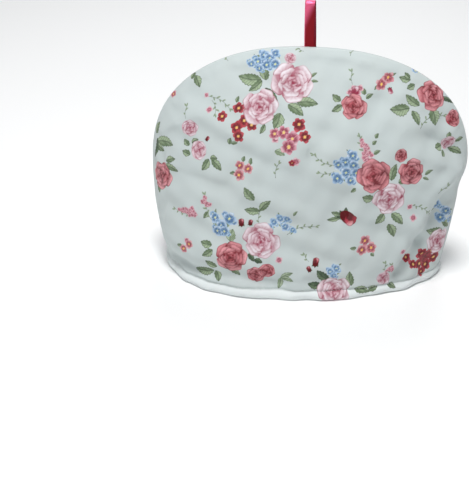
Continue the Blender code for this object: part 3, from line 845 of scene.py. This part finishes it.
def make_cotton():
    """Plain-woven cotton, its print read from the cloth's own points, with a soft nap and a fine weave."""
    cotton = bpy.data.materials.new("printed_cotton")
    cotton.use_nodes = True
    nodes = cotton.node_tree.nodes
    links = cotton.node_tree.links
    shader = nodes["Principled BSDF"]
    shader.inputs["Roughness"].default_value = 0.82
    shader.inputs["Sheen Weight"].default_value = 0.18
    shader.inputs["Sheen Roughness"].default_value = 0.45
    shader.inputs["Specular IOR Level"].default_value = 0.25

    place = nodes.new("ShaderNodeTexCoord")
    clouds = add_mottle(nodes, links, place.outputs["Object"], CLOUD_SCALE, 3.0, COTTON, COTTON_WARM)

    # The hem's roll is painted paler than the rest: a painted highlight where the roll turns to the light
    height_up = nodes.new("ShaderNodeSeparateXYZ")
    links.new(place.outputs["Object"], height_up.inputs["Vector"])
    above_hem = nodes.new("ShaderNodeMapRange")
    above_hem.interpolation_type = "SMOOTHSTEP"
    above_hem.inputs["From Min"].default_value = HEM_LINE - HEM_BLEND
    above_hem.inputs["From Max"].default_value = HEM_LINE + HEM_BLEND
    links.new(height_up.outputs["Z"], above_hem.inputs["Value"])
    hem_highlight = nodes.new("ShaderNodeMix")
    hem_highlight.data_type = "RGBA"
    hem_highlight.inputs[6].default_value = HEM_PAINTED_HIGHLIGHT
    links.new(above_hem.outputs["Result"], hem_highlight.inputs[0])
    links.new(clouds.outputs["Colour"], hem_highlight.inputs[7])
    colour = hem_highlight

    for layer in ("leaf", "flower"):
        edge = nodes.new("ShaderNodeAttribute")
        edge.attribute_name = layer + "_edge"
        mask = nodes.new("ShaderNodeMapRange")
        mask.interpolation_type = "SMOOTHSTEP"
        mask.inputs["From Min"].default_value = -0.30
        mask.inputs["From Max"].default_value = 0.30
        mask.inputs["To Max"].default_value = 0.96
        links.new(edge.outputs["Fac"], mask.inputs["Value"])
        dye = nodes.new("ShaderNodeAttribute")
        dye.attribute_name = layer + "_ink"
        over = nodes.new("ShaderNodeMix")
        over.data_type = "RGBA"
        links.new(mask.outputs["Result"], over.inputs[0])
        links.new(colour.outputs[2], over.inputs[6])
        links.new(dye.outputs["Color"], over.inputs[7])
        colour = over
    links.new(colour.outputs[2], shader.inputs["Base Color"])

    flat = nodes.new("ShaderNodeUVMap")
    flat.uv_map = "cloth"
    apart = nodes.new("ShaderNodeSeparateXYZ")
    links.new(flat.outputs["UV"], apart.inputs["Vector"])
    weave = nodes.new("ShaderNodeMath")
    weave.operation = "MULTIPLY"
    for number, axis in enumerate("XY"):
        threads = add_thread_rows(nodes, links, apart.outputs[axis], WEAVE_THREADS)
        links.new(threads.outputs["Height"], weave.inputs[number])
    slubs = nodes.new("ShaderNodeTexNoise")
    slubs.inputs["Scale"].default_value = SLUB_SCALE
    slubs.inputs["Detail"].default_value = 2.0
    links.new(place.outputs["Object"], slubs.inputs["Vector"])
    height = nodes.new("ShaderNodeMath")
    height.operation = "ADD"
    links.new(weave.outputs[0], height.inputs[0])
    links.new(slubs.outputs["Fac"], height.inputs[1])
    bump = nodes.new("ShaderNodeBump")
    bump.inputs["Strength"].default_value = 0.10
    bump.inputs["Distance"].default_value = 0.0004
    links.new(height.outputs[0], bump.inputs["Height"])
    creased = nodes.new("ShaderNodeTexNoise")
    creased.inputs["Scale"].default_value = WRINKLE_SCALE
    creased.inputs["Detail"].default_value = 4.0
    creased.inputs["Roughness"].default_value = 0.5
    creased.inputs["Distortion"].default_value = 0.8
    links.new(place.outputs["Object"], creased.inputs["Vector"])
    wrinkles = nodes.new("ShaderNodeBump")
    wrinkles.inputs["Strength"].default_value = 0.22
    wrinkles.inputs["Distance"].default_value = 0.003
    links.new(creased.outputs["Fac"], wrinkles.inputs["Height"])
    links.new(wrinkles.outputs["Normal"], bump.inputs["Normal"])
    links.new(bump.outputs["Normal"], shader.inputs["Normal"])
    return cotton


cotton = make_cotton()


def even_columns(side):
    """Where evenly spaced columns of cloth lie, as shares of the way from the middle to each seam."""
    shares = np.sin(0.5 * np.pi * np.linspace(-1.0, 1.0, 2001))
    x, y = bare_form(shares, np.full_like(shares, 0.2), side, 0.0)[:2]
    length = np.concatenate([[0.0], np.cumsum(np.hypot(np.diff(x), np.diff(y)))])
    length -= length[1000]
    even = np.where(length > 0, length / length[-1], -length / length[0])
    return lambda place: np.interp(place, even, shares)


def on_half_disc(place_x, place_y, columns, rows, column_shares):
    """Bends a square grid's points, from -1 to 1 each way, to the half disc that a panel is formed on."""
    row = 0.5 * (place_y + 1.0) * rows
    hem = np.interp(row, np.arange(HEM_ROWS + 1), HEM_HEIGHTS) / HEIGHT
    above = np.clip((row - HEM_ROWS) / (rows - HEM_ROWS), 0.0, 1.0)
    above = (1.0 - TOP_CROWDING) * above + TOP_CROWDING * np.sin(0.5 * np.pi * above)
    hem_top = HEM_HEIGHTS[-1] / HEIGHT
    level = np.where(row <= HEM_ROWS, hem, hem_top + (1.0 - hem_top) * above)
    u = column_shares(place_x)
    across = u * np.sqrt(1.0 - level**2 + 0.5 * level**4)
    up = level * np.sqrt(1.0 - 0.5 * (u * level) ** 2)
    share = np.clip(across / np.sqrt(np.maximum(1e-12, 1.0 - up * up)), -1.0, 1.0)
    return share, up


def grid_points(mesh):
    return np.array([vertex.co[:] for vertex in mesh.verts])


def rim_edges(verts):
    edges = {edge for vertex in verts for edge in vertex.link_edges}
    return [edge for edge in edges if edge.is_boundary]


def inner_form(share, up, side, folds, lengths):
    """The plain inner cloth: the panel's form drawn in by the wall, with a softer roll at the hem."""
    x, y, z, reach, depth, outward = bare_form(share, up, side, WALL)
    s, t = lay_flat(lengths, share, up, x)
    out = -INNER_ROLL_SHARE * np.interp(z, HEM_HEIGHTS, HEM_PROUD)
    out -= ease((1.0 - outward) / FOLD_FADE) * fold_depth(folds, x, z)
    normal_x = x / reach**2
    normal_y = y / depth**2
    length = np.maximum(1e-9, np.hypot(normal_x, normal_y))
    x = x + out * normal_x / length
    y = np.maximum(0.0, y + out * normal_y / length)
    seam_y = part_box("front_panel")[1][1] + SEAM_HALF_GAP
    return x + MIDDLE_X, seam_y + side * (SEAM_HALF_GAP + y), z, s, t


def print_cloth(share, up, side, lengths, shifts):
    """Prints a panel's cloth at each of its points, by where the bare form lies and which way it faces."""
    small = 1e-4
    x, y, z = bare_form(share, up, side, 0.0)[:3]
    places = np.stack([x, side * y, z], axis=1)
    inward = share * (1.0 - 2.0 * small)
    x_in, y_in, z_in = bare_form(inward, up, side, 0.0)[:3]
    level = np.stack([x_in, side * y_in, z_in], axis=1) - places
    level *= -np.sign(share + 1e-12)[:, None]
    lower = np.maximum(0.0, up - small)
    upper = np.minimum(1.0, up + small)
    x_low, y_low, z_low = bare_form(share, lower, side, 0.0)[:3]
    x_up, y_up, z_up = bare_form(share, upper, side, 0.0)[:3]
    climb = np.stack([x_up - x_low, side * (y_up - y_low), z_up - z_low], axis=1)
    facing = np.cross(level, climb) * -side
    facing[:, 1] += side * 1e-12
    facing /= np.linalg.norm(facing, axis=1)[:, None]
    s, t = lay_flat(lengths, share, up, x)
    cloth = blank_cloth(-side * 1000.0 * s, 1000.0 * t, 1000.0 * places, facing)
    for shift_s, shift_t in shifts:
        print_chart(cloth, shift_s, shift_t)
    return cloth


def keep_flat_places(data, flat):
    """Gives a piece the UV map "cloth": where each of its points lies on the flat cloth, in metres."""
    corners = np.empty(len(data.loops), dtype=np.int32)
    data.loops.foreach_get("vertex_index", corners)
    data.uv_layers.new(name="cloth").data.foreach_set("uv", flat[corners].ravel())


def make_panel(name, side, folds, creases, shifts):
    """Makes a panel's cloth: a fine printed outside and a plain inside, joined along seam and hem."""
    lengths = cloth_lengths(side)
    column_shares = even_columns(side)
    mesh = bmesh.new()
    bmesh.ops.create_grid(mesh, x_segments=COLUMNS, y_segments=ROWS, size=1.0)
    mesh.verts.index_update()
    grid = grid_points(mesh)
    share, up = on_half_disc(grid[:, 0], grid[:, 1], COLUMNS, ROWS, column_shares)
    cloth = print_cloth(share, up, side, lengths, shifts)
    printed = np.maximum(cloth["leaf_edge"], cloth["flower_edge"]) > -PRINT_MARGIN
    fine = set()
    for face in mesh.faces:
        inside = not any(edge.is_boundary for edge in face.edges)
        if inside and any(printed[vertex.index] for vertex in face.verts):
            fine.update(face.edges)
    fine = [edge for edge in fine if not edge.is_boundary]
    bmesh.ops.subdivide_edges(mesh, edges=fine, cuts=PRINT_CUTS, use_grid_fill=True)

    outer = list(mesh.verts)
    outer_rim = rim_edges(outer)
    grid = grid_points(mesh)
    share, up = on_half_disc(grid[:, 0], grid[:, 1], COLUMNS, ROWS, column_shares)
    outer_shares = (share, up)
    outside = dressed_form(share, up, side, folds, creases, lengths)
    made = bmesh.ops.create_grid(
        mesh, x_segments=COLUMNS // INNER_SHARE, y_segments=ROWS // INNER_SHARE, size=1.0
    )
    inner = made["verts"]
    inner_rim = rim_edges(inner)
    grid = np.array([vertex.co[:] for vertex in inner])
    share, up = on_half_disc(grid[:, 0], grid[:, 1], COLUMNS, ROWS, column_shares)
    inside = inner_form(share, up, side, folds, lengths)
    for verts, form in ((outer, outside), (inner, inside)):
        places = np.stack(form[:3], axis=1)
        for vertex, place in zip(verts, places.tolist()):
            vertex.co = place
    bmesh.ops.bridge_loops(mesh, edges=outer_rim + inner_rim)
    bmesh.ops.recalc_face_normals(mesh, faces=mesh.faces[:])

    cloth = print_cloth(*outer_shares, side, lengths, shifts)
    data = bpy.data.meshes.new(name)
    mesh.to_mesh(data)
    mesh.free()
    data.shade_smooth()
    plain = len(inner)
    for layer in ("leaf", "flower"):
        edge = np.concatenate([cloth[layer + "_edge"], np.full(plain, -SPREAD)])
        dye = np.concatenate([cloth[layer + "_ink"], np.ones((plain, 3))])
        dye = np.hstack([dye, np.ones((len(dye), 1))])
        data.attributes.new(layer + "_edge", "FLOAT", "POINT").data.foreach_set("value", edge)
        data.attributes.new(layer + "_ink", "FLOAT_COLOR", "POINT").data.foreach_set("color", dye.ravel())
    flat = np.stack([np.concatenate([outside[k], inside[k]]) for k in (3, 4)], axis=1)
    keep_flat_places(data, flat)
    data.materials.append(cotton)
    panel = bpy.data.objects.new(name, data)
    bpy.context.collection.objects.link(panel)
    return panel


front = make_panel("front_cloth", -1, FRONT_FOLDS, FRONT_CREASES, [(0.0, 0.0)])
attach(front, "root")
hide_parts("front_panel")


# The back panel: the same half-moon in the same cotton, cut from another stretch of the cloth, so that
# its bouquets fall elsewhere. It is sewn to the front along the dome.
PRINT_REPEAT = 348.0
BACK_SHIFT_ACROSS = -150.0
BACK_SHIFT_LOW = -62.0
BACK_SHIFT_HIGH = 218.0
BACK_SHIFTS = [
    (across, up)
    for up in (BACK_SHIFT_LOW, BACK_SHIFT_HIGH)
    for across in (BACK_SHIFT_ACROSS, BACK_SHIFT_ACROSS + PRINT_REPEAT)
]
back = make_panel("back_cloth", 1, BACK_FOLDS, BACK_CREASES, BACK_SHIFTS)
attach(back, "root")
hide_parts("back_panel")


# The hem's line of machine stitches: white cotton thread, each stitch sunk into the cloth at its ends.
# It runs round the foot of both panels, where it holds the turned-up hem.
STITCH_PITCH = 0.0031
STITCH_LENGTH = 0.0024
STITCH_RADIUS = 0.00030
STITCH_ENDS = 0.985
THREAD = (0.74, 0.77, 0.76, 1.0)
THREAD_SHADE = (0.62, 0.66, 0.65, 1.0)
TWIST_SCALE = 1400.0


def make_thread():
    thread = bpy.data.materials.new("hem_thread")
    thread.use_nodes = True
    nodes = thread.node_tree.nodes
    links = thread.node_tree.links
    shader = nodes["Principled BSDF"]
    shader.inputs["Roughness"].default_value = 0.6
    place = nodes.new("ShaderNodeTexCoord")
    twist = add_mottle(nodes, links, place.outputs["Object"], TWIST_SCALE, 2.0, THREAD, THREAD_SHADE)
    links.new(twist.outputs["Colour"], shader.inputs["Base Color"])
    bump = nodes.new("ShaderNodeBump")
    bump.inputs["Strength"].default_value = 0.3
    bump.inputs["Distance"].default_value = 0.0001
    links.new(twist.outputs["Patches"], bump.inputs["Height"])
    links.new(bump.outputs["Normal"], shader.inputs["Normal"])
    return thread


def stitch_places(side, folds, creases):
    """Places along a panel's hem line at an even pitch, each with the way that the line runs there."""
    share = np.sin(0.5 * np.pi * np.linspace(-STITCH_ENDS, STITCH_ENDS, 6001))
    up = np.full_like(share, HEM_LINE / HEIGHT)
    line = np.stack(dressed_form(share, up, side, folds, creases, cloth_lengths(side))[:3], axis=1)
    length = np.concatenate([[0.0], np.cumsum(np.linalg.norm(np.diff(line, axis=0), axis=1))])
    count = int(length[-1] / STITCH_PITCH)
    for k in range(count):
        middle = (k + 0.5) * length[-1] / count
        ends = [
            [float(np.interp(middle + shift, length, line[:, axis])) for axis in range(3)]
            for shift in (-0.5 * STITCH_LENGTH, 0.5 * STITCH_LENGTH)
        ]
        yield Vector(ends[0]), Vector(ends[1])


def make_stitches():
    mesh = bmesh.new()
    for side, folds, creases in ((-1, FRONT_FOLDS, FRONT_CREASES), (1, BACK_FOLDS, BACK_CREASES)):
        for start, end in stitch_places(side, folds, creases):
            run = (end - start).normalized()
            out = run.cross(Vector((0.0, 0.0, 1.0))).normalized() * -side
            rise = run.cross(out)
            turned_to = Matrix((run, out, rise)).transposed().to_4x4()
            size = Matrix.Diagonal((0.5 * STITCH_LENGTH, STITCH_RADIUS, STITCH_RADIUS, 1.0))
            place = Matrix.Translation(0.5 * (start + end) + 0.3 * STITCH_RADIUS * out)
            bmesh.ops.create_uvsphere(
                mesh, u_segments=8, v_segments=5, radius=1.0, matrix=place @ turned_to @ size
            )
    bmesh.ops.recalc_face_normals(mesh, faces=mesh.faces[:])
    data = bpy.data.meshes.new("hem_stitches")
    mesh.to_mesh(data)
    mesh.free()
    data.shade_smooth()
    data.materials.append(make_thread())
    stitches = bpy.data.objects.new("hem_stitches", data)
    bpy.context.collection.objects.link(stitches)
    return stitches


stitches = make_stitches()
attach(stitches, "root")


# The hanging loop: a centimetre of crimson satin ribbon, doubled, with its two ends sewn into the seam.
# It is woven with a fine rib and a firm selvedge, and it cups a little across its width.
RIBBON_WIDTH = 0.0100
RIBBON_THICKNESS = 0.0005
LOOP_RISE = 0.0460
LOOP_LEAN = -0.0022
BACK_LEG_SHIFT = 0.0018
LOOP_TOP_RADIUS = 0.0046
LEG_FOOT_Y = 0.00065
SEWN_DEPTH = 0.0055
RIBBON_CUP = 0.00055
LEG_STEPS = 60
TOP_STEPS = 28
CROSS_STEPS = 12
SATIN = (0.27, 0.005, 0.013, 1.0)
SATIN_DEEP = (0.17, 0.003, 0.009, 1.0)
# A painted highlight: the pale pink that the ribbon's colour turns to where it faces up and to the left,
# and near its top
SATIN_PAINTED_HIGHLIGHT = (0.84, 0.13, 0.26, 1.0)
SATIN_LIGHT = (-2.2, 0.0, 1.2)
SHINE_FROM = 0.262
SELVEDGE_SHARE = 0.90
RIBS = 1900.0


def loop_line():
    """The ribbon's middle line as (y, z), up the front leg, over the top and down the back leg."""
    foot = HEIGHT - SEWN_DEPTH
    arc_z = HEIGHT + LOOP_RISE - LOOP_TOP_RADIUS
    leg = [(LEG_FOOT_Y, foot)]
    for i in range(LEG_STEPS):
        share = i / LEG_STEPS
        y = LEG_FOOT_Y + (LOOP_TOP_RADIUS - LEG_FOOT_Y) * float(ease(share))
        leg.append((y, HEIGHT + (arc_z - HEIGHT) * share))
    points = [(-y, z) for y, z in leg]
    for i in range(TOP_STEPS + 1):
        angle = math.pi * i / TOP_STEPS
        points.append((-LOOP_TOP_RADIUS * math.cos(angle), arc_z + LOOP_TOP_RADIUS * math.sin(angle)))
    return points + leg[::-1]


def make_satin():
    """Satin: deep crimson, glossy along its floats, with ribs across, a firmer, darker selvedge, and a
    highlight painted into its colour where it turns up and near the top fold.
    """
    satin = bpy.data.materials.new("satin_ribbon")
    satin.use_nodes = True
    nodes = satin.node_tree.nodes
    links = satin.node_tree.links
    shader = nodes["Principled BSDF"]
    shader.inputs["Roughness"].default_value = 0.33
    shader.inputs["Metallic"].default_value = 0.45
    shader.inputs["Specular IOR Level"].default_value = 0.2
    shader.inputs["Anisotropic"].default_value = 0.4

    along = nodes.new("ShaderNodeUVMap")
    along.uv_map = "cloth"
    apart = nodes.new("ShaderNodeSeparateXYZ")
    links.new(along.outputs["UV"], apart.inputs["Vector"])
    from_middle = nodes.new("ShaderNodeMath")
    from_middle.operation = "ABSOLUTE"
    links.new(apart.outputs["X"], from_middle.inputs[0])
    selvedge = nodes.new("ShaderNodeMapRange")
    selvedge.inputs["From Min"].default_value = 0.5 * RIBBON_WIDTH * (SELVEDGE_SHARE - 0.06)
    selvedge.inputs["From Max"].default_value = 0.5 * RIBBON_WIDTH * SELVEDGE_SHARE
    links.new(from_middle.outputs[0], selvedge.inputs["Value"])
    place = nodes.new("ShaderNodeTexCoord")
    shade = nodes.new("ShaderNodeTexNoise")
    shade.inputs["Scale"].default_value = 90.0
    links.new(place.outputs["Object"], shade.inputs["Vector"])
    darker = nodes.new("ShaderNodeMath")
    darker.operation = "MULTIPLY_ADD"
    darker.inputs[1].default_value = 0.6
    links.new(selvedge.outputs["Result"], darker.inputs[0])
    softer = nodes.new("ShaderNodeMath")
    softer.operation = "MULTIPLY"
    softer.inputs[1].default_value = 0.35
    links.new(shade.outputs["Fac"], softer.inputs[0])
    links.new(softer.outputs[0], darker.inputs[2])
    colour = nodes.new("ShaderNodeMix")
    colour.data_type = "RGBA"
    colour.inputs[6].default_value = SATIN
    colour.inputs[7].default_value = SATIN_DEEP
    links.new(darker.outputs[0], colour.inputs[0])

    # A painted highlight: the colour turns pale pink where the ribbon faces up and to the left, and near
    # the top fold
    surface = nodes.new("ShaderNodeNewGeometry")
    turned_up = nodes.new("ShaderNodeVectorMath")
    turned_up.operation = "DOT_PRODUCT"
    turned_up.inputs[1].default_value = SATIN_LIGHT
    links.new(surface.outputs["Normal"], turned_up.inputs[0])
    shine = nodes.new("ShaderNodeMapRange")
    shine.interpolation_type = "SMOOTHSTEP"
    shine.inputs["From Min"].default_value = 0.05
    shine.inputs["From Max"].default_value = 0.95
    rise = nodes.new("ShaderNodeSeparateXYZ")
    links.new(place.outputs["Object"], rise.inputs["Vector"])
    near_top = nodes.new("ShaderNodeMapRange")
    near_top.inputs["From Min"].default_value = SHINE_FROM
    near_top.inputs["From Max"].default_value = HEIGHT + LOOP_RISE
    near_top.inputs["To Max"].default_value = 0.9
    links.new(rise.outputs["Z"], near_top.inputs["Value"])
    both = nodes.new("ShaderNodeMath")
    both.operation = "ADD"
    links.new(turned_up.outputs["Value"], both.inputs[0])
    links.new(near_top.outputs["Result"], both.inputs[1])
    links.new(both.outputs[0], shine.inputs["Value"])
    painted_highlight = nodes.new("ShaderNodeMix")
    painted_highlight.data_type = "RGBA"
    painted_highlight.inputs[7].default_value = SATIN_PAINTED_HIGHLIGHT
    links.new(shine.outputs["Result"], painted_highlight.inputs[0])
    links.new(colour.outputs[2], painted_highlight.inputs[6])
    links.new(painted_highlight.outputs[2], shader.inputs["Base Color"])

    rib = add_thread_rows(nodes, links, apart.outputs["Y"], RIBS)
    bump = nodes.new("ShaderNodeBump")
    bump.inputs["Strength"].default_value = 0.12
    bump.inputs["Distance"].default_value = 0.0002
    links.new(rib.outputs["Height"], bump.inputs["Height"])
    links.new(bump.outputs["Normal"], shader.inputs["Normal"])
    return satin


def make_ribbon():
    points = np.array(loop_line())
    steps = np.hypot(np.diff(points[:, 0]), np.diff(points[:, 1]))
    length = np.concatenate([[0.0], np.cumsum(steps)])
    runs = np.gradient(points, axis=0)
    runs /= np.linalg.norm(runs, axis=1)[:, None]
    seam_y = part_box("front_panel")[1][1] + SEAM_HALF_GAP
    last = len(points) - 1
    mesh = bmesh.new()
    bmesh.ops.create_grid(mesh, x_segments=CROSS_STEPS, y_segments=last, size=1.0)
    flat = []
    for vertex in mesh.verts:
        i = round(0.5 * (vertex.co.y + 1.0) * last)
        y, z = points[i]
        run_y, run_z = runs[i]
        cross = float(vertex.co.x)
        rise = max(0.0, z - HEIGHT) / LOOP_RISE
        x = RIBBON_X + BACK_LEG_SHIFT * float(ease(i / last)) + LOOP_LEAN * rise
        cup = RIBBON_CUP * (cross * cross - 0.5) * float(ease(3.0 * rise))
        flat.append((0.5 * RIBBON_WIDTH * cross, float(length[i])))
        vertex.co = (
            x + 0.5 * RIBBON_WIDTH * cross + MIDDLE_X,
            seam_y + y + cup * run_z,
            z - cup * run_y,
        )
    data = bpy.data.meshes.new("ribbon_loop")
    mesh.to_mesh(data)
    mesh.free()
    data.shade_smooth()
    keep_flat_places(data, np.array(flat))
    data.materials.append(make_satin())
    ribbon = bpy.data.objects.new("ribbon_loop", data)
    bpy.context.collection.objects.link(ribbon)
    wall = ribbon.modifiers.new("thickness", "SOLIDIFY")
    wall.thickness = RIBBON_THICKNESS
    wall.offset = 0.0
    return ribbon


ribbon = make_ribbon()
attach(ribbon, "root")
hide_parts("hanging_loop")
